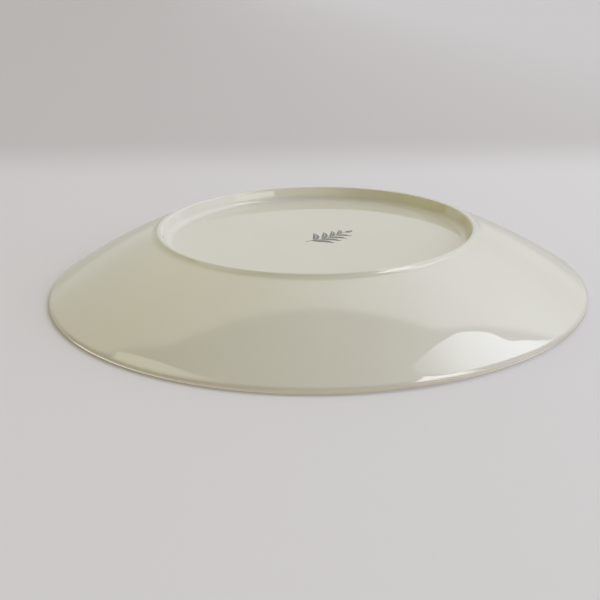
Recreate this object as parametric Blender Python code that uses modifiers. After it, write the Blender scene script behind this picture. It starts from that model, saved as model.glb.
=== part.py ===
"""A shallow round serving bowl in ivory porcelain, standing upright on its foot ring.

Everything is turned about +Z, and the plane z = 0 is what the bowl stands on. There are
three pieces. bowl_body is the wall and the well, with a round recess under the well.
foot_ring is the hoop seated in that recess, which carries the bowl. backstamp is the thin
oval print on the underside of the well. Sizes are in metres and angles in radians.
"""

import math

import bpy

# Driving dimensions of the whole bowl.
RIM_DIAMETER = 0.280
HEIGHT = 0.0318

# Wall and well.
LIP_THICKNESS = 0.0025
WALL_THICKNESS_AT_FOOT = 0.0042
WALL_SLOPE_AT_LIP = math.radians(33.5)
FLOOR_THICKNESS = 0.0038
FLOOR_SWEEP = 0.016

# Foot ring: its bearing face is a flat band, and its two edges are rounded.
FOOT_DIAMETER = 0.1651
BEARING_WIDTH = 0.0015
FOOT_EDGE_RADIUS = 0.0008
FOOT_FLARE_OUTSIDE = 0.00125
FOOT_DRAFT_INSIDE = 0.0018
FOOT_STANDS_PROUD = 0.0019
RECESS_DEPTH = 0.0070

# Printed mark, and where it lies on the well's underside.
MARK_LENGTH = 0.0325
MARK_WIDTH = 0.0160
MARK_THICKNESS = 0.0003
MARK_CENTRE = (-0.0070, -0.0010)
MARK_TURN = math.radians(144.5)

# Clearance between pieces that touch, and how finely they are faceted.
JOINT_GAP = 0.0003
TURNING_STEPS = 72
MARK_SIDES = 40
MERGE_DISTANCE = 0.00001

# Sizes that follow from the ones above.
RIM_RADIUS = RIM_DIAMETER / 2
FLOOR_TOP = RECESS_DEPTH + FLOOR_THICKNESS
BEARING_OUTER = FOOT_DIAMETER / 2 + BEARING_WIDTH / 2
BEARING_INNER = FOOT_DIAMETER / 2 - BEARING_WIDTH / 2
FOOT_OUTER = BEARING_OUTER + FOOT_EDGE_RADIUS + FOOT_FLARE_OUTSIDE
FOOT_INNER = BEARING_INNER - FOOT_EDGE_RADIUS - FOOT_DRAFT_INSIDE
FOOT_TOP = RECESS_DEPTH - JOINT_GAP
RECESS_RADIUS = FOOT_OUTER + JOINT_GAP


def arc(centre, radius, start, end, count):
    """Points on a circle in the profile plane, from one angle to another, both ends included."""
    step = (end - start) / (count - 1)
    angles = [start + step * i for i in range(count)]
    return [
        (centre[0] + radius * math.cos(a), centre[1] + radius * math.sin(a)) for a in angles
    ]


class Flank:
    """The outer wall in section: one circular arc from the lip's bead to the edge of the recess.

    It leaves the bead at the slope given for the lip, and its curvature is the one that takes
    it to the recess. A point on it is found by the wall's slope there.
    """

    def __init__(self):
        half = LIP_THICKNESS / 2
        self.bead = (RIM_RADIUS - half, HEIGHT - half)
        slope = WALL_SLOPE_AT_LIP
        top = (self.bead[0] + half * math.sin(slope), self.bead[1] - half * math.cos(slope))
        run = top[0] - RECESS_RADIUS
        rise = top[1] - FOOT_STANDS_PROUD
        turn = slope - math.atan2(rise, run)
        self.radius = math.hypot(run, rise) / (2 * math.sin(turn))
        self.centre = (
            top[0] - self.radius * math.sin(slope),
            top[1] + self.radius * math.cos(slope),
        )
        self.lip_slope = slope
        self.foot_slope = slope - 2 * turn

    def point(self, slope, depth=0.0):
        """The point where the wall has this slope, moved into the wall by depth."""
        reach = self.radius - depth
        return (
            self.centre[0] + reach * math.sin(slope),
            self.centre[1] - reach * math.cos(slope),
        )

    def thickness(self, slope):
        """The wall's thickness, which grows evenly from the lip to the foot."""
        share = (self.lip_slope - slope) / (self.lip_slope - self.foot_slope)
        return LIP_THICKNESS + share * (WALL_THICKNESS_AT_FOOT - LIP_THICKNESS)

    def inner(self, slope):
        """The point on the inner surface opposite the outer point with this slope."""
        return self.point(slope, self.thickness(slope))

    def slope_at_floor(self):
        """The slope at which the inner surface crosses the level of the well floor."""
        low = self.foot_slope
        high = self.lip_slope
        for _ in range(50):
            middle = (low + high) / 2
            if self.inner(middle)[1] < FLOOR_TOP:
                low = middle
            else:
                high = middle
        return high


def spread(start, end, count):
    """Evenly spaced values from start to end, both included."""
    return [start + (end - start) * i / (count - 1) for i in range(count)]


def body_profile():
    """From the middle of the well floor, out and up the inside, over the lip, and down outside."""
    flank = Flank()
    half = LIP_THICKNESS / 2
    crossing = flank.slope_at_floor()
    corner = flank.inner(crossing)
    sweep_end = crossing + FLOOR_SWEEP / flank.radius
    leave = (corner[0] - FLOOR_SWEEP, FLOOR_TOP)
    land = flank.inner(sweep_end)

    sweep = []
    for t in spread(0.0, 1.0, 8):
        weights = ((1 - t) ** 2, 2 * t * (1 - t), t * t)
        points = (leave, corner, land)
        sweep.append(tuple(sum(w * p[k] for w, p in zip(weights, points)) for k in (0, 1)))

    inside = [flank.inner(s) for s in spread(sweep_end, flank.lip_slope, 7)]
    inner_tangent = flank.lip_slope + math.pi / 2
    outer_tangent = flank.lip_slope - math.pi / 2
    bead = (
        arc(flank.bead, half, inner_tangent, math.pi / 2, 3)
        + arc(flank.bead, half, math.pi / 2, 0.0, 4)[1:]
        + arc(flank.bead, half, 0.0, outer_tangent, 3)[1:]
    )
    outside = [flank.point(s) for s in spread(flank.lip_slope, flank.foot_slope, 10)]
    recess = [(RECESS_RADIUS, RECESS_DEPTH), (0.0, RECESS_DEPTH)]
    return [(0.0, FLOOR_TOP)] + sweep + inside[1:-1] + bead + outside[1:] + recess


def foot_profile():
    """Round the hoop's section: down its outer side, across the bearing face and up inside."""
    outer_edge = arc(
        (BEARING_OUTER, FOOT_EDGE_RADIUS), FOOT_EDGE_RADIUS, 0.0, -math.pi / 2, 5
    )
    inner_edge = arc(
        (BEARING_INNER, FOOT_EDGE_RADIUS), FOOT_EDGE_RADIUS, -math.pi / 2, -math.pi, 5
    )
    return (
        [(FOOT_OUTER, FOOT_TOP), (FOOT_OUTER, FOOT_STANDS_PROUD)]
        + outer_edge
        + inner_edge
        + [(FOOT_INNER, FOOT_TOP)]
    )


def glaze(name, colour, roughness):
    """A smooth non-metallic finish with a clear coat."""
    material = bpy.data.materials.new(name)
    material.use_nodes = True
    shader = material.node_tree.nodes["Principled BSDF"]
    shader.inputs["Base Color"].default_value = (*colour, 1.0)
    shader.inputs["Roughness"].default_value = roughness
    shader.inputs["Metallic"].default_value = 0.0
    shader.inputs["Coat Weight"].default_value = 0.6
    return material


def turned(name, profile, is_loop, material, collection):
    """A solid of revolution: the profile is a line of edges, swept about +Z by a Screw modifier."""
    count = len(profile)
    edges = [(i, i + 1) for i in range(count - 1)]
    if is_loop:
        edges.append((count - 1, 0))
    mesh = bpy.data.meshes.new(name)
    mesh.from_pydata([(r, 0.0, z) for r, z in profile], edges, [])
    mesh.materials.append(material)
    piece = bpy.data.objects.new(name, mesh)
    collection.objects.link(piece)
    screw = piece.modifiers.new("turn", "SCREW")
    screw.axis = "Z"
    screw.steps = TURNING_STEPS
    screw.render_steps = TURNING_STEPS
    screw.use_merge_vertices = True
    screw.merge_threshold = MERGE_DISTANCE
    screw.use_smooth_shade = True
    return piece


def printed_mark(material, collection):
    """A thin oval plate, lying a joint gap under the well."""
    bpy.ops.mesh.primitive_cylinder_add(
        vertices=MARK_SIDES, radius=0.5, depth=MARK_THICKNESS, end_fill_type="NGON"
    )
    piece = bpy.context.object
    piece.name = "backstamp"
    piece.data.name = "backstamp"
    piece.scale = (MARK_LENGTH, MARK_WIDTH, 1.0)
    bpy.ops.object.transform_apply(location=False, rotation=False, scale=True)
    piece.rotation_euler = (0.0, 0.0, MARK_TURN)
    piece.location = (*MARK_CENTRE, FOOT_TOP - MARK_THICKNESS / 2)
    piece.data.materials.append(material)
    for other in list(piece.users_collection):
        other.objects.unlink(piece)
    collection.objects.link(piece)
    return piece


def main():
    for old in list(bpy.data.objects):
        bpy.data.objects.remove(old)
    collection = bpy.data.collections.new("serving_bowl")
    bpy.context.scene.collection.children.link(collection)

    ivory = glaze("ivory_glaze", (0.76, 0.74, 0.64), 0.12)
    foot_ivory = glaze("foot_glaze", (0.74, 0.71, 0.60), 0.18)
    ink = glaze("mark_ink", (0.06, 0.07, 0.065), 0.25)

    turned("bowl_body", body_profile(), False, ivory, collection)
    turned("foot_ring", foot_profile(), True, foot_ivory, collection)
    printed_mark(ink, collection)


main()
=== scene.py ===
"""The looks of a shallow ivory porcelain serving bowl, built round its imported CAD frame.

The bowl stands upright in the frame, on the plane z = 0 with its mouth towards +Z. The main
camera sees it as a dealer shows one: turned over, resting on its rim on a pale cloth, so that
the foot ring and the printed mark are in view. The cloth is therefore the plane of the rim,
and it faces down in the frame. Other views see the bowl standing on its foot, on a pale floor.

Three pieces are made, one for each CAD node: the glazed wall and well, the foot ring with the
fillets that run it into the wall, and the mark, a sprig of leaves printed under the glaze.
"""

import math

import bpy
import numpy as np
from bpy.props import FloatProperty, FloatVectorProperty, IntProperty, PointerProperty
from mathutils import Matrix, Vector


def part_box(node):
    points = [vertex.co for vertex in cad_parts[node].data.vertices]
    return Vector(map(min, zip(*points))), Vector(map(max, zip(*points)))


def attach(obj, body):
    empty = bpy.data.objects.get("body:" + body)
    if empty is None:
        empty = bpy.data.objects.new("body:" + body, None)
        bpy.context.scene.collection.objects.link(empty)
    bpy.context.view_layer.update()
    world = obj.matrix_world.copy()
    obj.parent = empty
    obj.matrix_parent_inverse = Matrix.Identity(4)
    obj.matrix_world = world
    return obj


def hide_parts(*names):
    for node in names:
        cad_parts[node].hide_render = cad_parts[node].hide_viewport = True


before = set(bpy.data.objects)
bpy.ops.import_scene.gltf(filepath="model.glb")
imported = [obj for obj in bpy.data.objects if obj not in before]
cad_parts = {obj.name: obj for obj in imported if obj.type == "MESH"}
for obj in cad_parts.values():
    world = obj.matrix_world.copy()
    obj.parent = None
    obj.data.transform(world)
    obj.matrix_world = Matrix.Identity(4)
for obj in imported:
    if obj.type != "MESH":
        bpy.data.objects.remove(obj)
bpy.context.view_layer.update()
BODY_LOW, BODY_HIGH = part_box("bowl_body")
FOOT_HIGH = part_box("foot_ring")[1]
MARK_LOW, MARK_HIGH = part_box("backstamp")

bl_info = {
    "name": "Porcelain Serving Bowl",
    "version": (1, 0, 0),
    "blender": (4, 5, 0),
    "location": "View3D > Sidebar > Bowl",
    "description": "Builds a glazed coupe serving bowl, its foot ring, its printed mark and a stage",
    "category": "Add Mesh",
}

# Clearance between the CAD pieces, and where the ring's skirts run out into the body.
JOINT_GAP = 0.0003
UNDERSIDE = FOOT_HIGH.z + JOINT_GAP
OUTER_SEAM = FOOT_HIGH.x + 0.0028
INNER_SEAM = FOOT_HIGH.x - 0.01035

# The seat that is let into the body for the ring, and the ring's clearance in it.
SEAT_DEPTH = 0.0010
SEAT_CLEARANCE = 0.0002
SEAT_TAPER = 0.0004

# Steps along each stretch of a turned profile.
FLOOR_STEPS = 9
SWEEP_STEPS = 22
WALL_STEPS = 40
BEAD_STEPS = 22
EDGE_STEPS = 9
HOLLOW_STEPS = 14
FILLET_STEPS = 12
SKIRT_STEPS = 6

# Kiln warp starts this far outside the hoop, and faces meet sharply past this angle.
WARP_START = 0.0068
SHARP_ANGLE = math.radians(38.0)

# The two floors lie a hair past what rests on them. The panes of light are far off.
FLOOR_CLEARANCE = 0.0002
FLOOR_REACH = 9.0
WINDOW_DISTANCE = 9.0
SENSOR_WIDTH = 36.0


# Sizes and colours that a user would change.


class BowlSizes(bpy.types.PropertyGroup):
    """The wall and the well. The outside sizes come from the frame."""

    rim_radius: FloatProperty(
        name="Rim radius",
        description="From the axis to the outside of the lip",
        default=BODY_HIGH.x,
        unit="LENGTH",
    )
    height: FloatProperty(
        name="Height",
        description="From the plane the foot stands on to the top of the lip",
        default=BODY_HIGH.z,
        unit="LENGTH",
    )
    lip_thickness: FloatProperty(
        name="Lip thickness",
        description="Thickness of the wall at the lip, and the diameter of its rounded edge",
        default=0.0025,
        unit="LENGTH",
    )
    foot_thickness: FloatProperty(
        name="Thickness at the foot",
        description="Thickness of the wall where it reaches the foot",
        default=0.0042,
        unit="LENGTH",
    )
    lip_slope: FloatProperty(
        name="Slope at the lip",
        description="How steeply the wall rises at the lip",
        default=math.radians(33.5),
        subtype="ANGLE",
    )
    floor_thickness: FloatProperty(
        name="Floor thickness",
        description="Thickness of the flat well",
        default=0.0038,
        unit="LENGTH",
    )
    floor_sweep: FloatProperty(
        name="Floor sweep",
        description="How far each side of the corner the well sweeps up into the wall",
        default=0.016,
        unit="LENGTH",
    )
    warp: FloatProperty(
        name="Kiln warp",
        description="How far the rim rises and falls from firing",
        default=0.00010,
        unit="LENGTH",
    )
    segments: IntProperty(
        name="Segments",
        description="Steps round the axis in every turned piece",
        default=512,
        min=24,
    )


class FootSizes(bpy.types.PropertyGroup):
    """The foot ring. Its bearing face lies at z = 0."""

    bearing_outer: FloatProperty(
        name="Bearing face, outer radius",
        description="Outer edge of the flat band that the bowl stands on",
        default=FOOT_HIGH.x - 0.0026,
        unit="LENGTH",
    )
    bearing_width: FloatProperty(
        name="Bearing width",
        description="Width of the flat band that the bowl stands on",
        default=0.0010,
        unit="LENGTH",
    )
    outer_edge: FloatProperty(
        name="Outer edge radius",
        description="Rounding of the band's outer edge",
        default=0.0017,
        unit="LENGTH",
    )
    outer_slope: FloatProperty(
        name="Outer slope",
        description="Steepest slope of the ring's outside, between the edge and the fillet",
        default=math.radians(44.0),
        subtype="ANGLE",
    )
    inner_edge: FloatProperty(
        name="Inner edge radius",
        description="Rounding of the band's inner edge",
        default=0.0012,
        unit="LENGTH",
    )
    inner_draft: FloatProperty(
        name="Inner draft",
        description="Lean of the ring's inside from upright",
        default=math.radians(20.0),
        subtype="ANGLE",
    )
    inner_fillet: FloatProperty(
        name="Inner fillet",
        description="Radius of the glaze-filled corner between the ring and the well",
        default=0.0040,
        unit="LENGTH",
    )


class MarkSizes(bpy.types.PropertyGroup):
    """The printed sprig, drawn inside the place that the frame keeps for the mark."""

    length: FloatProperty(
        name="Length",
        description="From the foot of the stem to the tip of the end leaf",
        default=0.0318,
        unit="LENGTH",
    )
    spread: FloatProperty(
        name="Spread",
        description="Reach of the longest leaves, from the stem",
        default=0.0090,
        unit="LENGTH",
    )
    turn: FloatProperty(
        name="Turn",
        description="Direction in which the stem points, from +X",
        default=math.radians(144.5),
        subtype="ANGLE",
    )
    film: FloatProperty(
        name="Film",
        description="How far the print stands out of the glaze",
        default=0.00003,
        unit="LENGTH",
    )
    leaf_pairs: IntProperty(
        name="Leaf pairs",
        description="Pairs of leaves along the stem",
        default=4,
        min=1,
    )


def colour_property(name, description, default):
    return FloatVectorProperty(
        name=name, description=description, default=default, subtype="COLOR", min=0.0, max=1.0
    )


class Finishes(bpy.types.PropertyGroup):
    """Colours of the glaze, the bare clay and the print, with painted shade on the lip and in the
    corners of the foot.
    """

    ivory: colour_property("Ivory", "The glaze over most of the bowl", (0.795, 0.762, 0.640))
    # Thick glaze in the corners of the foot, darker also as painted shade.
    pooled_glaze_and_shade: colour_property("Pooled", "Thick glaze in the corners of the foot", (0.74, 0.73, 0.57))
    # Thin glaze over the lip, darker also as painted shade from the cloth.
    lip: colour_property("Lip", "Thin glaze over the rounded lip", (0.68, 0.62, 0.51))
    # Painted contact shadow on the top of the lip, where it rests on the cloth.
    edge: colour_property("Edge", "The worn top of the lip", (0.50, 0.44, 0.36))
    bare: colour_property("Bare clay", "The wiped bearing face", (0.80, 0.765, 0.72))
    speck: colour_property("Speck", "Small iron specks in the clay", (0.30, 0.26, 0.20))
    ink: colour_property("Ink", "The printed mark", (0.060, 0.070, 0.066))
    roughness: FloatProperty(
        name="Roughness", description="Roughness of the fired glaze", default=0.02, min=0.0, max=1.0
    )


class StageSettings(bpy.types.PropertyGroup):
    """The camera, in rim radii and degrees, and the colours of the stage."""

    lens: FloatProperty(
        name="Lens", description="Focal length of the camera", default=55.8, unit="CAMERA"
    )
    camera_back: FloatProperty(
        name="Camera distance",
        description="From the axis to the camera along the floor, in rim radii",
        default=3.3821,
    )
    camera_over: FloatProperty(
        name="Camera height",
        description="Height of the camera over the plane of the rim, in rim radii",
        default=1.1697,
    )
    camera_pitch: FloatProperty(
        name="Pitch", description="Tilt below level", default=math.radians(20.30), subtype="ANGLE"
    )
    camera_yaw: FloatProperty(
        name="Yaw", description="Turn to the right", default=math.radians(-1.13), subtype="ANGLE"
    )
    camera_roll: FloatProperty(
        name="Roll", description="Tilt of the horizon", default=math.radians(-0.82), subtype="ANGLE"
    )
    cloth: colour_property("Cloth", "The pale cloth under the rim", (0.80, 0.77, 0.745))
    floor: colour_property("Floor", "The pale floor under the foot", (0.80, 0.79, 0.78))


# Shader trees.


class Nodes:
    """Adds nodes to one tree."""

    def __init__(self, tree):
        self.tree = tree
        tree.nodes.clear()

    def add(self, kind, settings, sockets):
        """A node of this kind: its settings first, then the values or links of its sockets."""
        node = self.tree.nodes.new(kind)
        for name, value in settings.items():
            setattr(node, name, value)
        for key, value in sockets.items():
            if isinstance(value, Number):
                value = value.socket
            if isinstance(value, bpy.types.NodeSocket):
                self.tree.links.new(value, node.inputs[key])
            else:
                node.inputs[key].default_value = value
        return node

    def number(self, kind, settings, sockets, output=0):
        """The same, giving one of the node's outputs as a number to calculate with."""
        return Number(self, self.add(kind, settings, sockets).outputs[output])

    def ramp(self, value, low, high):
        """0 where the value is below low and 1 above high, with a smooth rise between."""
        settings = {"interpolation_type": "SMOOTHSTEP"}
        sockets = {"Value": value, "From Min": low, "From Max": high}
        return self.number("ShaderNodeMapRange", settings, sockets)

    def band(self, value, middle, reach):
        """1 where the value is the middle, falling smoothly to 0 at this reach each side."""
        return 1 - self.ramp((value - middle) ** 2, 0.0, reach**2)

    def blend(self, share, first, second):
        """The first colour where share is 0, and the second where it is 1."""
        sockets = {0: share, 6: first, 7: second}
        return self.add("ShaderNodeMix", {"data_type": "RGBA"}, sockets).outputs[2]

    def dot(self, first, second):
        """The dot product of two directions."""
        sockets = {0: first, 1: second}
        return self.number("ShaderNodeVectorMath", {"operation": "DOT_PRODUCT"}, sockets, 1)

    def noise(self, place, scale, detail, roughness=0.5):
        """Noise between 0 and 1, round about a half."""
        sockets = {"Vector": place, "Scale": scale, "Detail": detail, "Roughness": roughness}
        return self.number("ShaderNodeTexNoise", {}, sockets, "Fac")


class Number:
    """A node's output. Arithmetic on it adds Math nodes to its tree."""

    def __init__(self, nodes, socket):
        self.nodes = nodes
        self.socket = socket

    def math(self, operation, first, second):
        return self.nodes.number("ShaderNodeMath", {"operation": operation}, {0: first, 1: second})

    def __add__(self, other):
        return self.math("ADD", self, other)

    def __radd__(self, other):
        return self.math("ADD", other, self)

    def __sub__(self, other):
        return self.math("SUBTRACT", self, other)

    def __rsub__(self, other):
        return self.math("SUBTRACT", other, self)

    def __mul__(self, other):
        return self.math("MULTIPLY", self, other)

    def __rmul__(self, other):
        return self.math("MULTIPLY", other, self)

    def __pow__(self, other):
        return self.math("POWER", self, other)

    def at_least(self, other):
        return self.math("MAXIMUM", self, other)


def rgba(colour):
    return (*colour, 1.0)


def new_material(name):
    """A material with an empty tree, and the helper that fills it."""
    material = bpy.data.materials.new(name)
    material.use_nodes = True
    return material, Nodes(material.node_tree)


def finish_shader(nodes, sockets):
    """The Principled shader with these sockets, joined to the material's output."""
    shader = nodes.add("ShaderNodeBsdfPrincipled", {}, sockets)
    nodes.add("ShaderNodeOutputMaterial", {}, {"Surface": shader.outputs[0]})


# Patterns in the glaze and the print: cells in each metre. Then the depth of the bump, the share
# of cells that have no speck, the greatest speck's reach in cells, and the clouds' tint.
CLOUD_SCALE = 22.0
WAVE_SCALE = 34.0
SPECK_SCALE = 85.0
PEEL_SCALE = 260.0
GRAIN_SCALE = 420.0
PATCH_SCALE = 500.0
WORN_SCALE = 2600.0
BUMP_DEPTH = 0.00010
SPECK_RARITY = 0.965
SPECK_REACH = 0.045
CLOUD_TINT = (0.972, 0.972, 0.958, 1.0)
GLAZE_IOR = 1.5


def glaze_material(name):
    """Clear glaze over ivory clay, for the body and the foot ring alike.

    Everything follows from the place on the bowl. The glaze pools in the corners each side of
    the foot, where the colour is also darkened as painted shade; it thins over the lip, also
    darkened there as painted shade, and the top of the lip carries a painted contact shadow from
    the cloth. The glaze is wiped off the bearing face.
    Slow noise clouds the colour, sparse specks show, and long waves unsettle the reflections.
    """
    sizes = bpy.context.scene.bowl_sizes
    foot = bpy.context.scene.bowl_foot
    finish = bpy.context.scene.bowl_finishes
    material, nodes = new_material(name)
    place = nodes.add("ShaderNodeTexCoord", {}, {}).outputs["Object"]
    split = nodes.add("ShaderNodeSeparateXYZ", {}, {0: place})
    x, y, z = (Number(nodes, output) for output in split.outputs)
    radius = (x * x + y * y) ** 0.5

    # Corners each side of the foot, where thick glaze pools: their darker colour is partly painted
    # shade.
    outer_corner = nodes.band(radius, foot.bearing_outer + 0.0022, 0.0022)
    inner_corner = nodes.band(radius, foot.bearing_outer - 0.0042, 0.0030)
    under_body = 1 - nodes.ramp(z, UNDERSIDE + 0.0003, UNDERSIDE + 0.0009)
    pooled_glaze_and_shade = (outer_corner * 0.55 + inner_corner * 0.25) * under_body
    # The lip, where the glaze thins: darker there also as painted shade from the cloth it rests on.
    lip = nodes.ramp(radius, sizes.rim_radius - 0.0019, sizes.rim_radius - 0.0004)
    bare = 1 - nodes.ramp(z, 0.00004, 0.00022)

    cloud = nodes.noise(place, CLOUD_SCALE, 3.0)
    grain = nodes.noise(place, GRAIN_SCALE, 2.0)
    sockets = {"Vector": place, "Scale": SPECK_SCALE, "Randomness": 1.0}
    cell = nodes.add("ShaderNodeTexVoronoi", {}, sockets)
    tint = nodes.add("ShaderNodeSeparateColor", {}, {0: cell.outputs["Color"]})
    size = nodes.ramp(Number(nodes, tint.outputs[0]), SPECK_RARITY, 1.0)
    distance = Number(nodes, cell.outputs["Distance"])
    speck = nodes.ramp(size * SPECK_REACH - distance, 0.0, 0.02)

    # Pooled glaze in the corners of the foot, darker also as painted shade.
    colour = nodes.blend(pooled_glaze_and_shade, rgba(finish.ivory), rgba(finish.pooled_glaze_and_shade))
    shade = nodes.ramp(cloud * 0.8 + grain * 0.2, 0.25, 0.75)
    settings = {"data_type": "RGBA", "blend_type": "MULTIPLY"}
    deeper = nodes.add("ShaderNodeMix", settings, {0: 1.0, 6: colour, 7: CLOUD_TINT}).outputs[2]
    colour = nodes.blend(shade, deeper, colour)
    # Thin glaze over the lip, with painted shade.
    colour = nodes.blend(lip * (0.75 + 0.25 * cloud), colour, rgba(finish.lip))
    # Painted contact shadow: the top of the lip, which rests on the cloth in the main view, is
    # darker.
    edge = nodes.ramp(z, sizes.height - 0.0013, sizes.height - 0.0004)
    edge = edge * nodes.ramp(radius, sizes.rim_radius - 0.0019, sizes.rim_radius - 0.0010)
    colour = nodes.blend(edge * (0.7 + 0.3 * grain), colour, rgba(finish.edge))
    colour = nodes.blend(speck * 0.8, colour, rgba(finish.speck))
    colour = nodes.blend(bare * (0.25 + 0.35 * grain), colour, rgba(finish.bare))

    roughness = finish.roughness + 0.012 * cloud + bare * 0.16 + lip * 0.05

    waves = nodes.noise(place, WAVE_SCALE, 1.0)
    peel = nodes.noise(place, PEEL_SCALE, 2.0)
    height = waves * 0.9 + peel * 0.035 + bare * grain * 0.6
    sockets = {"Strength": 1.0, "Distance": BUMP_DEPTH, "Height": height}
    bump = nodes.add("ShaderNodeBump", {}, sockets)
    finish_shader(nodes, {
        "Base Color": colour,
        "Roughness": roughness,
        "Normal": bump.outputs[0],
        "IOR": GLAZE_IOR,
    })
    return material


def ink_material():
    """Dark grey-green print under the glaze: fine noise lets the clay show through in places."""
    finish = bpy.context.scene.bowl_finishes
    material, nodes = new_material("printed_ink")
    place = nodes.add("ShaderNodeTexCoord", {}, {}).outputs["Object"]
    worn = nodes.ramp(nodes.noise(place, WORN_SCALE, 3.0, 0.6), 0.50, 0.72)
    patchy = nodes.ramp(nodes.noise(place, PATCH_SCALE, 2.0), 0.35, 0.70)
    colour = nodes.blend(worn * 0.30 + patchy * 0.10, rgba(finish.ink), rgba(finish.ivory))
    finish_shader(nodes, {
        "Base Color": colour,
        "Roughness": finish.roughness + 0.05 * patchy,
        "IOR": GLAZE_IOR,
    })
    return material


# Turned profiles. A profile is an array of (radius, height) points.


def arc(centre, radius, start, end, count):
    """Points on a circle in the profile plane: the centre plus the radius at evenly spread angles."""
    angle = np.linspace(start, end, count)
    return np.array(centre) + radius * np.stack([np.cos(angle), np.sin(angle)], axis=1)


def line(start, end, count):
    """Evenly spread points on a straight line."""
    share = np.linspace(0.0, 1.0, count)[:, None]
    return np.array(start) * (1 - share) + np.array(end) * share


class Wall:
    """The outside of the wall in section: one arc from the lip's bead to the edge of the recess.

    The outward direction where the wall has slope s is (sin s, -cos s). The arc leaves the bead
    at the lip's slope, and its radius is the chord over twice the sine of half the turn, so that
    it ends where the frame's body meets the recess.
    """

    def __init__(self, sizes):
        half = sizes.lip_thickness / 2
        self.sizes = sizes
        self.bead = np.array([sizes.rim_radius - half, sizes.height - half])
        self.lip_slope = sizes.lip_slope
        top = self.bead + half * self.outward(self.lip_slope)
        run, rise = top - (FOOT_HIGH.x + JOINT_GAP, BODY_LOW.z)
        turn = self.lip_slope - math.atan2(rise, run)
        self.radius = math.hypot(run, rise) / (2 * math.sin(turn))
        self.centre = top - self.radius * self.outward(self.lip_slope)
        self.foot_slope = self.lip_slope - 2 * turn

    @staticmethod
    def outward(slope):
        """The outward direction at a slope, or at each of an array of slopes."""
        return np.stack([np.sin(slope), -np.cos(slope)], axis=-1)

    def outer(self, slope):
        """The outer surface where the wall has this slope."""
        return self.centre + self.radius * self.outward(slope)

    def inner(self, slope):
        """The inner surface: the thickness grows evenly with the slope's fall to the foot."""
        share = (self.lip_slope - slope) / (self.lip_slope - self.foot_slope)
        growth = self.sizes.foot_thickness - self.sizes.lip_thickness
        depth = np.asarray(self.sizes.lip_thickness + share * growth)
        return self.outer(slope) - depth[..., None] * self.outward(slope)

    def slope_at_radius(self, radius):
        """The slope where the outer surface is this far from the axis."""
        return math.asin((radius - self.centre[0]) / self.radius)

    def slope_at_floor(self, level):
        """The slope where the inner surface crosses this level."""
        slopes = np.linspace(self.foot_slope, self.lip_slope, 4001)
        return float(np.interp(level, self.inner(slopes)[:, 1], slopes))


def body_profile(sizes):
    """From the middle of the well up the inside, over the lip, down outside and in to the axis.

    The floor is flat. Where it would meet the wall it leaves early and lands late, along a
    parabola with the corner as its control point. The lip is half a circle or so, and the
    outside follows the wall's arc to the outer seam, where the seat of the foot ring is let in.
    """
    wall = Wall(sizes)
    floor = UNDERSIDE + sizes.floor_thickness
    crossing = wall.slope_at_floor(floor)
    corner = wall.inner(crossing)
    landing = crossing + sizes.floor_sweep / wall.radius
    leave = np.array([corner[0] - sizes.floor_sweep, floor])
    share = np.linspace(0.0, 1.0, SWEEP_STEPS)[:, None]
    sweep = (1 - share) ** 2 * leave + 2 * share * (1 - share) * corner
    sweep = sweep + share**2 * wall.inner(landing)
    seam_slope = wall.slope_at_radius(OUTER_SEAM)
    seat = UNDERSIDE + SEAT_DEPTH
    quarter = math.pi / 2
    return np.concatenate([
        line((0.0, floor), leave, FLOOR_STEPS)[:-1],
        sweep,
        wall.inner(np.linspace(landing, wall.lip_slope, WALL_STEPS))[1:-1],
        arc(wall.bead, sizes.lip_thickness / 2, wall.lip_slope + quarter,
            wall.lip_slope - quarter, BEAD_STEPS),
        wall.outer(np.linspace(wall.lip_slope, seam_slope, WALL_STEPS))[1:],
        [(OUTER_SEAM - SEAT_TAPER, seat), (INNER_SEAM + SEAT_TAPER, seat)],
        line((INNER_SEAM, UNDERSIDE), (0.0, UNDERSIDE), FLOOR_STEPS),
    ])


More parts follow.
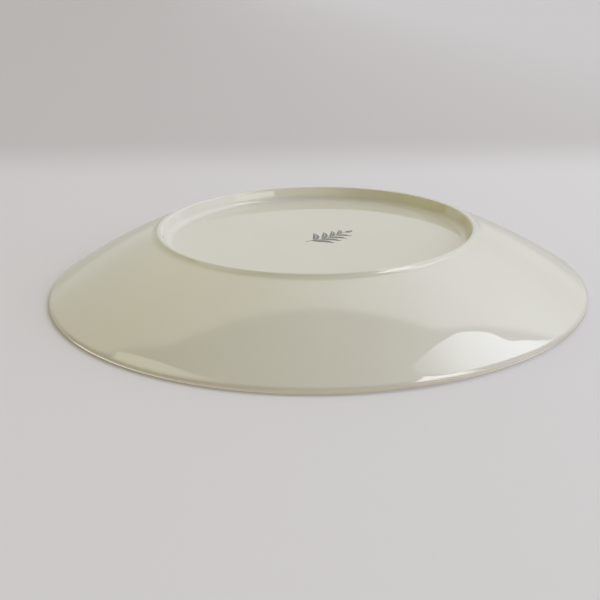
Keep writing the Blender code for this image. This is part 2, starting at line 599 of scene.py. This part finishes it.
def foot_profile(sizes, foot):
    """Round the foot ring's section, starting at the outer seam on the wall.

    The outside is one hollow arc tangent to the wall and to the edge's rounding. If D runs from
    the wall's centre to the end of the rounding, n is the outward direction there and W is the
    wall's radius, the hollow's radius is (W W - D D) / 2 (D n - W). The bearing face is flat.
    The inside leans by the draft and turns into the well through a hollow quarter. The rest,
    let into the body's seat, doesn't show.
    """
    wall = Wall(sizes)
    steep = wall.outward(foot.outer_slope)
    rounding = np.array([foot.bearing_outer, foot.outer_edge])
    from_wall = rounding + foot.outer_edge * steep - wall.centre
    hollow = (wall.radius**2 - from_wall @ from_wall) / (2 * (from_wall @ steep - wall.radius))
    centre = wall.centre + from_wall + hollow * steep
    toe = math.atan2(centre[0] - wall.centre[0], wall.centre[1] - centre[1])
    slopes = np.linspace(toe, foot.outer_slope, HOLLOW_STEPS)
    quarter = math.pi / 2

    inner_round = np.array([foot.bearing_outer - foot.bearing_width, foot.inner_edge])
    lean = np.array([-math.cos(foot.inner_draft), -math.sin(foot.inner_draft)])
    along = np.array([-math.sin(foot.inner_draft), math.cos(foot.inner_draft)])
    start = inner_round + foot.inner_edge * lean
    rise = UNDERSIDE - foot.inner_fillet - start[1] - foot.inner_fillet * lean[1]
    corner = start + along * rise / along[1] + foot.inner_fillet * lean
    fillet = arc(corner, foot.inner_fillet, foot.inner_draft, quarter, FILLET_STEPS)
    hidden = UNDERSIDE + SEAT_DEPTH - SEAT_CLEARANCE
    taper = SEAT_TAPER + SEAT_CLEARANCE
    return np.concatenate([
        wall.outer(np.linspace(wall.slope_at_radius(OUTER_SEAM), toe, SKIRT_STEPS))[:-1],
        centre - hollow * wall.outward(slopes),
        arc(rounding, foot.outer_edge, foot.outer_slope - quarter, -quarter, EDGE_STEPS)[1:],
        arc(inner_round, foot.inner_edge, -quarter, foot.inner_draft - math.pi, EDGE_STEPS),
        line(start, fillet[0], SKIRT_STEPS)[1:-1],
        fillet,
        line(fillet[-1], (INNER_SEAM, UNDERSIDE), SKIRT_STEPS - 1)[1:],
        [(INNER_SEAM + taper, hidden), (OUTER_SEAM - taper, hidden)],
    ])


def kiln_warp(points, sizes):
    """Lifts the rim by two and by three slow waves a turn, growing smoothly from the foot."""
    radius = np.hypot(points[:, 0], points[:, 1])
    angle = np.arctan2(points[:, 1], points[:, 0])
    start = FOOT_HIGH.x + WARP_START
    share = np.clip((radius - start) / (sizes.rim_radius - start), 0.0, 1.0)
    growth = share * share * (3 - 2 * share)
    wave = np.cos(2 * angle + 0.7) + 0.5 * np.cos(3 * angle - 0.4)
    points[:, 2] += sizes.warp * growth * wave
    return points


def turned_mesh(name, profile, sizes, is_loop):
    """A closed solid of revolution about +Z.

    Vertex (i, j) is the profile's point i turned through j of the even steps, and each cell of
    that grid is a face. A loop profile closes on itself. Any other starts and ends on the axis,
    where one vertex serves all the steps.
    """
    count = sizes.segments
    angle = np.arange(count) * 2 * math.pi / count
    rings = profile if is_loop else profile[1:-1]
    radius = rings[:, 0][:, None]
    level = np.broadcast_to(rings[:, 1][:, None], (len(rings), count))
    grid = np.stack([radius * np.cos(angle), radius * np.sin(angle), level], axis=2)
    points = grid.reshape(-1, 3)
    index = np.arange(len(rings) * count).reshape(len(rings), count)
    rows = np.concatenate([index, index[:1]]) if is_loop else index
    turned = np.roll(rows, -1, axis=1)
    cells = np.stack([rows[:-1], rows[1:], turned[1:], turned[:-1]], axis=2).reshape(-1, 4)
    faces = cells.tolist()
    if not is_loop:
        poles = np.array([[0.0, 0.0, profile[0][1]], [0.0, 0.0, profile[-1][1]]])
        first = len(points)
        top = np.stack([np.full(count, first), rows[0], turned[0]], axis=1)
        bottom = np.stack([rows[-1], np.full(count, first + 1), turned[-1]], axis=1)
        points = np.concatenate([points, poles])
        faces += top.tolist() + bottom.tolist()
    mesh = bpy.data.meshes.new(name)
    mesh.from_pydata(kiln_warp(points, sizes).tolist(), [], faces)
    return mesh


def new_piece(name, mesh, material):
    """An object for a finished mesh, in the frame's own place, shaded smooth but for sharp turns."""
    mesh.materials.append(material)
    mesh.shade_smooth()
    mesh.set_sharp_from_angle(angle=SHARP_ANGLE)
    piece = bpy.data.objects.new(name, mesh)
    bpy.context.scene.collection.objects.link(piece)
    return piece


# The printed sprig. Strips lie in the plane of the print, in metres along and across the stem.
STEM_STEPS = 40
LEAF_STEPS = 19
STALK_STEPS = 8
BERRY_STEPS = 13
STEM_HALF_WIDTH = 0.00028
STALK_HALF_WIDTH = 0.00010
BERRY_RADIUS = 0.00052
VEIN_WIDTH = 0.00034
END_LEAF_WIDTH = 0.0030
END_VEIN_WIDTH = 0.00030


def strip(path, near, far):
    """A flat strip beside a path: at each point it lies from near to far along the path's normal.

    The normal is the path's direction turned a quarter to the left. The result is the strip's
    two edges, as (points, 2) arrays.
    """
    ahead = np.gradient(path, axis=0)
    ahead /= np.linalg.norm(ahead, axis=1)[:, None]
    normal = np.stack([-ahead[:, 1], ahead[:, 0]], axis=1)
    return path + normal * near[:, None], path + normal * far[:, None]


def leaf(root, angle, length, width, vein):
    """The two halves of a leaf, apart by a thin bare vein.

    The midrib bows to one side by half a sine wave, a tenth of the length high. The half width
    is the sine of half a turn times the share of the length to the power 0.78, and that sine to
    the power 0.85, so the leaf is fullest before its middle. The vein's half width is the
    square root of a sine arch.
    """
    share = np.linspace(0.0, 1.0, LEAF_STEPS)
    ahead = np.array([math.cos(angle), math.sin(angle)])
    aside = np.array([-ahead[1], ahead[0]])
    bow = 0.10 * length * np.sin(math.pi * share) * (-1 if angle < 0 else 1)
    midrib = root + length * share[:, None] * ahead - bow[:, None] * aside
    arch = width / 2 * np.sin(math.pi * share**0.78) ** 0.85
    gap = vein / 2 * np.sin(math.pi * np.clip(share * 1.02, 0.0, 1.0)) ** 0.5
    edge = np.maximum(arch, gap + vein * 0.12)
    return [strip(midrib, gap, edge), strip(midrib, -edge, -gap)]


def stem_point(share, mark):
    """The stem: straight along, with a slow wave across."""
    across = 0.045 * mark.length * np.sin(1.35 * math.pi * np.asarray(share) + 0.35)
    return np.stack([np.asarray(share) * mark.length, across], axis=-1)


def berry(centre, radius):
    """A round dot: a strip whose edges are the two halves of a circle, a hair apart at its ends."""
    angle = np.linspace(math.pi, 0.0, BERRY_STEPS)
    top = centre + radius * np.stack([np.cos(angle), np.sin(angle)], axis=1)
    low = centre + radius * np.stack([np.cos(angle), -np.sin(angle)], axis=1)
    low[[0, -1], 1] -= radius * 0.02
    return low, top


def sprig(mark):
    """Every strip of the sprig: the stem, pairs of leaves, berries between them and an end leaf."""
    share = np.linspace(0.0, 0.86, STEM_STEPS)
    half = STEM_HALF_WIDTH * (1.25 - 0.8 * share)
    strips = [strip(stem_point(share, mark), -half, half)]
    for pair in range(mark.leaf_pairs):
        along = 0.10 + 0.66 * pair / mark.leaf_pairs
        shrink = 1.0 - 0.38 * pair / mark.leaf_pairs
        length = mark.spread * 1.42 * shrink
        for side, later in ((1, 0.0), (-1, 0.055)):
            root = stem_point(along + later, mark) + (0.0, side * 0.0003)
            angle = side * math.radians(56.0 - 14.0 * pair / mark.leaf_pairs)
            strips += leaf(root, angle, length, length * 0.27, VEIN_WIDTH)
        seed = stem_point(along + 0.105, mark)
        reach = mark.spread * 0.62 * shrink
        tip = seed + (reach * 0.45, reach * 0.85)
        stalk = line(seed, tip, STALK_STEPS)
        thin = np.full(STALK_STEPS, STALK_HALF_WIDTH)
        strips += [strip(stalk, -thin, thin), berry(tip, BERRY_RADIUS)]
    end = stem_point(0.83, mark)
    strips += leaf(end, math.radians(-6.0), mark.length * 0.17, END_LEAF_WIDTH, END_VEIN_WIDTH)
    return strips


def sprig_mesh(mark):
    """Each strip as a thin closed slab on the underside of the well, all in one mesh.

    A strip's two edges are laid at the bare surface and at the film's outer face. Walls join
    them along the edges and across both ends.
    """
    middle = (MARK_LOW + MARK_HIGH) / 2
    turn = np.array([[math.cos(mark.turn), -math.sin(mark.turn)],
                     [math.sin(mark.turn), math.cos(mark.turn)]])
    centre = np.array([mark.length / 2, 0.0])
    all_points = []
    all_faces = []
    start = 0
    for low_edge, high_edge in sprig(mark):
        count = len(low_edge)
        flat = (np.concatenate([low_edge, high_edge]) - centre) @ turn.T + np.array(middle)[:2]
        inside = np.column_stack([flat, np.full(2 * count, UNDERSIDE + mark.film / 2)])
        outside = np.column_stack([flat, np.full(2 * count, UNDERSIDE - mark.film)])
        all_points.append(np.concatenate([inside, outside]))
        near, far, near_out, far_out = start + np.arange(4 * count).reshape(4, count)
        ribbons = [(near, far), (far, far_out), (far_out, near_out), (near_out, near)]
        for one, other in ribbons:
            all_faces.append(np.stack([one[:-1], one[1:], other[1:], other[:-1]], axis=1))
        all_faces.append(np.array([
            [near[0], far[0], far_out[0], near_out[0]],
            [near_out[-1], far_out[-1], far[-1], near[-1]],
        ]))
        start += 4 * count
    mesh = bpy.data.meshes.new("printed_sprig")
    mesh.from_pydata(np.concatenate(all_points).tolist(), [], np.concatenate(all_faces).tolist())
    return mesh


# The stage. Its directions are those of the main view: x right, y away and z up, off the cloth.


def to_frame(vector):
    """A direction of the main view in the frame: the bowl lies turned over about the y axis."""
    return Vector((-vector[0], vector[1], -vector[2]))


def direction(azimuth, elevation):
    """A unit vector from degrees: azimuth from the right towards the back, elevation upwards."""
    a = math.radians(azimuth)
    e = math.radians(elevation)
    return Vector((math.cos(a) * math.cos(e), math.sin(a) * math.cos(e), math.sin(e)))


def add_camera():
    """A camera that looks at the turned-over bowl from in front and above."""
    stage = bpy.context.scene.bowl_stage
    sizes = bpy.context.scene.bowl_sizes
    ahead_level = Vector((math.sin(stage.camera_yaw), math.cos(stage.camera_yaw), 0.0))
    ahead = ahead_level * math.cos(stage.camera_pitch)
    ahead.z = -math.sin(stage.camera_pitch)
    level_right = Vector((ahead_level.y, -ahead_level.x, 0.0))
    level_up = level_right.cross(ahead)
    cosine = math.cos(stage.camera_roll)
    sine = math.sin(stage.camera_roll)
    right = to_frame(level_right * cosine + level_up * sine)
    up = to_frame(level_up * cosine - level_right * sine)
    back = -to_frame(ahead)
    data = bpy.data.cameras.new("camera")
    data.lens = stage.lens
    data.sensor_width = SENSOR_WIDTH
    camera = bpy.data.objects.new("camera", data)
    bpy.context.scene.collection.objects.link(camera)
    turn = Matrix((right, up, back)).transposed().to_4x4()
    over = sizes.height - stage.camera_over * sizes.rim_radius
    place = Matrix.Translation((0.0, -stage.camera_back * sizes.rim_radius, over))
    camera.matrix_world = place @ turn
    bpy.context.scene.camera = camera


def one_sided(name, colour_of):
    """A matt cloth that shows only from its front. colour_of makes its colour from its place."""
    material, nodes = new_material(name)
    place = nodes.add("ShaderNodeTexCoord", {}, {}).outputs["Object"]
    matt = nodes.add("ShaderNodeBsdfDiffuse", {}, {"Color": colour_of(nodes, place)})
    clear = nodes.add("ShaderNodeBsdfTransparent", {}, {})
    side = nodes.add("ShaderNodeNewGeometry", {}, {}).outputs["Backfacing"]
    sockets = {0: side, 1: matt.outputs[0], 2: clear.outputs[0]}
    mixed = nodes.add("ShaderNodeMixShader", {}, sockets)
    nodes.add("ShaderNodeOutputMaterial", {}, {"Surface": mixed.outputs[0]})
    return material


# What the cloth's colour is multiplied by: painted light towards the window, and painted shade far
# behind, in place of the fold where the cloth rises.
CLOTH_LIT = (1.25, 1.28, 1.34)
CLOTH_SHADE_BEHIND = (0.84, 0.83, 0.83)


def cloth_colour(nodes, place):
    """The cloth in the main view: painted light towards the window on the right, painted shade far
    behind.
    """
    stage = bpy.context.scene.bowl_stage
    split = nodes.add("ShaderNodeSeparateXYZ", {}, {0: place})
    right = -1 * Number(nodes, split.outputs[0])
    away = Number(nodes, split.outputs[1])
    lit = nodes.ramp(right + 0.15 * away, -0.45, 0.75)
    behind = nodes.ramp(away, 0.24, 0.42)
    near = rgba(stage.cloth)
    bright = rgba([min(1.0, c * s) for c, s in zip(stage.cloth, CLOTH_LIT)])
    shaded_far = rgba([c * s for c, s in zip(stage.cloth, CLOTH_SHADE_BEHIND)])
    colour = nodes.blend(lit, near, bright)
    return nodes.blend(behind * (1 - 0.5 * lit), colour, shaded_far)


def floor_colour(nodes, place):
    """The plain floor of the other views."""
    return rgba(bpy.context.scene.bowl_stage.floor)


def add_floor(name, level, facing, colour_of):
    """A large level square at a height, facing up (1) or down (-1), seen by the camera alone."""
    reach = FLOOR_REACH
    corners = [(-reach, -reach), (reach, -reach), (reach, reach), (-reach, reach)]
    mesh = bpy.data.meshes.new(name)
    mesh.from_pydata([(x, y, level) for x, y in corners[::facing]], [], [(0, 1, 2, 3)])
    mesh.materials.append(one_sided(name, colour_of))
    floor = bpy.data.objects.new(name, mesh)
    bpy.context.scene.collection.objects.link(floor)
    floor.visible_diffuse = False
    floor.visible_glossy = False
    floor.visible_transmission = False
    floor.visible_volume_scatter = False
    floor.visible_shadow = False


def add_window(name, outline, colour, edge, core, core_at):
    """A glowing pane far off, seen only in the glaze.

    Its outline is in degrees from the bowl. Its glow rises from edge to core as the direction
    nears core_at: the cosine of the angle between them, put through a smooth ramp.
    """
    centre = Vector((0.0, 0.0, BODY_HIGH.z / 2))
    corners = [centre + to_frame(direction(*corner)) * WINDOW_DISTANCE for corner in outline]
    corners.append(sum(corners, Vector()) / len(corners))
    count = len(outline)
    mesh = bpy.data.meshes.new(name)
    fan = [(i, (i + 1) % count, count) for i in range(count)]
    mesh.from_pydata([tuple(corner) for corner in corners], [], fan)
    material, nodes = new_material(name)
    place = nodes.add("ShaderNodeTexCoord", {}, {}).outputs["Object"]
    towards = nodes.add("ShaderNodeVectorMath", {"operation": "NORMALIZE"}, {0: place}).outputs[0]
    nearness = nodes.dot(towards, to_frame(direction(*core_at)))
    glow = edge + (core - edge) * nodes.ramp(nearness, CORE_COSINE, 1.0)
    lamp = nodes.add("ShaderNodeEmission", {}, {"Color": rgba(colour), "Strength": glow})
    nodes.add("ShaderNodeOutputMaterial", {}, {"Surface": lamp.outputs[0]})
    mesh.materials.append(material)
    window = bpy.data.objects.new(name, mesh)
    bpy.context.scene.collection.objects.link(window)
    window.visible_camera = False
    window.visible_diffuse = False
    window.visible_shadow = False


# Soft lights over the cloth: azimuth, elevation, narrowness and colour of each. They are the
# wall with the window, the foot of that wall, the left of the room and the room in front.
SOFT_LIGHTS = (
    (0.0, 35.0, 6.0, (1.62, 1.70, 2.15)),
    (335.0, 12.0, 12.0, (1.00, 1.03, 1.25)),
    (180.0, 10.0, 12.0, (0.97, 0.84, 0.32)),
    (270.0, 8.0, 12.0, (1.95, 1.83, 1.35)),
)

# Glow from over the cloth, from beside and just under it, and from under it.
UPPER_GLOW = (0.07, 0.07, 0.05)
RIM_GLOW = (0.54, 0.53, 0.51)
LOWER_GLOW = (0.64, 0.63, 0.61)

# The light that faces the mouth of the bowl: direction in the frame, narrowness and colour.
OVERHEAD_FROM = Vector((0.25, 0.35, 0.90)).normalized()
OVERHEAD_NARROWNESS = 24.0
OVERHEAD = (1.00, 1.00, 0.99)

# The screen behind the bowl: colours, rise of its top edge and azimuths of its two ends.
BACKDROP_RIGHT = (1.60, 1.63, 1.74)
BACKDROP_LEFT = (1.12, 1.07, 0.80)
BACKDROP_FOOT = (0.70, 0.70, 0.71)
BACKDROP_STEEPNESS = 2.8
BACKDROP_EDGES = (37.0, 150.0)


class Sky:
    """The world's shader: the numbers it is made of, each from the direction looked in."""

    def __init__(self, nodes):
        self.nodes = nodes
        self.towards = nodes.add("ShaderNodeTexCoord", {}, {}).outputs["Generated"]
        split = nodes.add("ShaderNodeSeparateXYZ", {}, {0: self.towards})
        self.right = -1 * Number(nodes, split.outputs[0])
        self.away = Number(nodes, split.outputs[1])
        self.up = -1 * Number(nodes, split.outputs[2])
        self.above = nodes.ramp(self.up, 0.0, 0.07)

    def cosine(self, axis):
        """How nearly the direction is this one: the dot product, kept above 0."""
        return self.nodes.dot(self.towards, axis).at_least(0.0)

    def lobe(self, azimuth, elevation, narrowness):
        """A broad light over the cloth: the cosine from its direction, to its narrowness."""
        return self.cosine(to_frame(direction(azimuth, elevation))) ** narrowness * self.above

    def backdrop(self):
        """1 on the tall screen behind the bowl: under its top edge and between its two ends."""
        nodes = self.nodes
        under = nodes.ramp(self.away * BACKDROP_STEEPNESS - self.up, -0.10, 0.10)
        ends = []
        for side, azimuth in zip((1, -1), BACKDROP_EDGES):
            along = direction(azimuth, 0.0)
            ends.append(nodes.ramp(
                side * (self.away * along.x - self.right * along.y), -0.025, 0.025
            ))
        return under * ends[0] * ends[1] * self.above

    def rightward(self):
        """0 to the left and 1 to the right, turning over smoothly straight behind the bowl."""
        return self.nodes.ramp(self.right, -0.25, 0.30)

    def overhead(self):
        """A soft light straight over the mouth of the bowl, which only its inside faces."""
        return self.cosine(OVERHEAD_FROM) ** OVERHEAD_NARROWNESS

    def tinted(self, colour, share):
        """A colour scaled by a number."""
        sockets = {0: colour, "Scale": share}
        settings = {"operation": "SCALE"}
        return self.nodes.add("ShaderNodeVectorMath", settings, sockets).outputs[0]

    def sum(self, first, second):
        """Two colours added."""
        sockets = {0: first, 1: second}
        return self.nodes.add("ShaderNodeVectorMath", {"operation": "ADD"}, sockets).outputs[0]


def add_studio():
    """Soft light from all round: glows over and under the cloth, a backdrop and broad lights."""
    world = bpy.data.worlds.new("studio")
    world.use_nodes = True
    bpy.context.scene.world = world
    nodes = Nodes(world.node_tree)
    sky = Sky(nodes)
    total = nodes.blend(nodes.ramp(sky.up, -0.85, -0.35), rgba(LOWER_GLOW), rgba(RIM_GLOW))
    total = nodes.blend(sky.above, total, rgba(UPPER_GLOW))
    screen = nodes.blend(sky.rightward(), rgba(BACKDROP_LEFT), rgba(BACKDROP_RIGHT))
    screen = nodes.blend(nodes.ramp(sky.up, 0.22, 0.80), rgba(BACKDROP_FOOT), screen)
    total = sky.sum(total, sky.tinted(screen, sky.backdrop()))
    total = sky.sum(total, sky.tinted(OVERHEAD, sky.overhead()))
    for azimuth, elevation, narrowness, colour in SOFT_LIGHTS:
        total = sky.sum(total, sky.tinted(colour, sky.lobe(azimuth, elevation, narrowness)))
    back = nodes.add("ShaderNodeBackground", {}, {"Color": total, "Strength": 1.0})
    nodes.add("ShaderNodeOutputWorld", {}, {"Surface": back.outputs[0]})


# The panes of light: name, outline, colour, glow at the edge and core, and where the core is.
# The last two are under the cloth, over the mouth of the bowl. The glow starts to rise where the
# cosine passes CORE_COSINE.
CORE_COSINE = 0.93
WINDOWS = (
    (
        "right_window",
        (
            (15, 69), (25, 64), (27, 62.5), (33.5, 55), (34, 51), (33.5, 46.5), (31.8, 45),
            (31, 41), (33, 34.5), (36, 27), (28, 38), (22, 47), (14, 57), (9, 67.5),
        ),
        (0.95, 1.0, 1.12), 1.9, 5.2, (23, 46),
    ),
    (
        "low_window",
        ((-50, 5), (-50, 14), (-25, 14), (2, 12), (2, 5)),
        (1.0, 1.0, 1.0), 3.6, 3.6, (-25, 10),
    ),
    (
        "left_window",
        (
            (151, 42), (155, 49), (160, 55), (166, 61), (174, 68), (190, 70), (198, 62),
            (196, 54), (180, 46), (163, 37),
        ),
        (1.0, 0.96, 0.76), 0.7, 2.1, (162, 49),
    ),
    (
        "ring_window",
        ((-10, 48), (-8, 68), (8, 67), (13, 57), (10, 48)),
        (0.98, 1.0, 1.04), 8.0, 8.0, (2, 58),
    ),
    (
        "front_window",
        ((-54, 18), (-54, 27), (-20, 23), (-18, 17)),
        (1.0, 1.0, 1.0), 4.0, 4.0, (-37, 22),
    ),
    (
        "softbox_1",
        ((14, -36), (62, -30), (70, -56), (8, -62)),
        (1.0, 1.0, 1.0), 1.6, 2.6, (38.5, -46),
    ),
    (
        "softbox_2",
        ((112, -28), (160, -26), (168, -52), (104, -56)),
        (1.0, 1.0, 1.0), 1.6, 2.6, (136, -40.5),
    ),
)


# Operators.


class BOWL_OT_body(bpy.types.Operator):
    """Turn the glazed wall and well, in place of the frame's body"""

    bl_idname = "bowl.body"
    bl_label = "Wall and well"

    def execute(self, context):
        sizes = context.scene.bowl_sizes
        mesh = turned_mesh("glazed_body", body_profile(sizes), sizes, False)
        piece = new_piece("glazed_body", mesh, glaze_material("ivory_glaze_body"))
        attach(piece, "root")
        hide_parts("bowl_body")
        return {"FINISHED"}


class BOWL_OT_foot(bpy.types.Operator):
    """Turn the foot ring and its fillets, in place of the frame's ring"""

    bl_idname = "bowl.foot"
    bl_label = "Foot ring"

    def execute(self, context):
        sizes = context.scene.bowl_sizes
        profile = foot_profile(sizes, context.scene.bowl_foot)
        mesh = turned_mesh("foot_hoop", profile, sizes, True)
        piece = new_piece("foot_hoop", mesh, glaze_material("ivory_glaze_foot"))
        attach(piece, "root")
        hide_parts("foot_ring")
        return {"FINISHED"}


class BOWL_OT_mark(bpy.types.Operator):
    """Print the sprig under the well, in place of the frame's mark"""

    bl_idname = "bowl.mark"
    bl_label = "Printed sprig"

    def execute(self, context):
        mesh = sprig_mesh(context.scene.bowl_mark)
        piece = new_piece("printed_sprig", mesh, ink_material())
        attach(piece, "root")
        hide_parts("backstamp")
        return {"FINISHED"}


class BOWL_OT_stage(bpy.types.Operator):
    """Set the camera, the cloth, the floor and the light"""

    bl_idname = "bowl.stage"
    bl_label = "Stage"

    def execute(self, context):
        context.scene.view_settings.view_transform = "Standard"
        add_camera()
        add_floor("cloth", BODY_HIGH.z + FLOOR_CLEARANCE, -1, cloth_colour)
        add_floor("floor", -FLOOR_CLEARANCE, 1, floor_colour)
        add_studio()
        for window in WINDOWS:
            add_window(*window)
        return {"FINISHED"}


OPERATORS = (BOWL_OT_body, BOWL_OT_foot, BOWL_OT_mark, BOWL_OT_stage)
GROUPS = {
    "bowl_sizes": BowlSizes,
    "bowl_foot": FootSizes,
    "bowl_mark": MarkSizes,
    "bowl_finishes": Finishes,
    "bowl_stage": StageSettings,
}


class BOWL_PT_sidebar(bpy.types.Panel):
    """The bowl's pieces, in the order in which they are made"""

    bl_idname = "BOWL_PT_sidebar"
    bl_label = "Serving bowl"
    bl_space_type = "VIEW_3D"
    bl_region_type = "UI"
    bl_category = "Bowl"

    def draw(self, context):
        for operator in OPERATORS:
            self.layout.operator(operator.bl_idname)
        for name in GROUPS:
            box = self.layout.box()
            group = getattr(context.scene, name)
            for field in group.bl_rna.properties:
                if field.identifier not in ("name", "rna_type"):
                    box.prop(group, field.identifier)


def register():
    for cls in (*GROUPS.values(), *OPERATORS, BOWL_PT_sidebar):
        bpy.utils.register_class(cls)
    for name, group in GROUPS.items():
        setattr(bpy.types.Scene, name, PointerProperty(type=group))


def unregister():
    for name in GROUPS:
        delattr(bpy.types.Scene, name)
    for cls in (BOWL_PT_sidebar, *reversed(OPERATORS), *reversed(GROUPS.values())):
        bpy.utils.unregister_class(cls)


def main():
    register()
    bpy.ops.bowl.body()
    bpy.ops.bowl.foot()
    bpy.ops.bowl.mark()
    bpy.ops.bowl.stage()


if __name__ == "__main__":
    main()
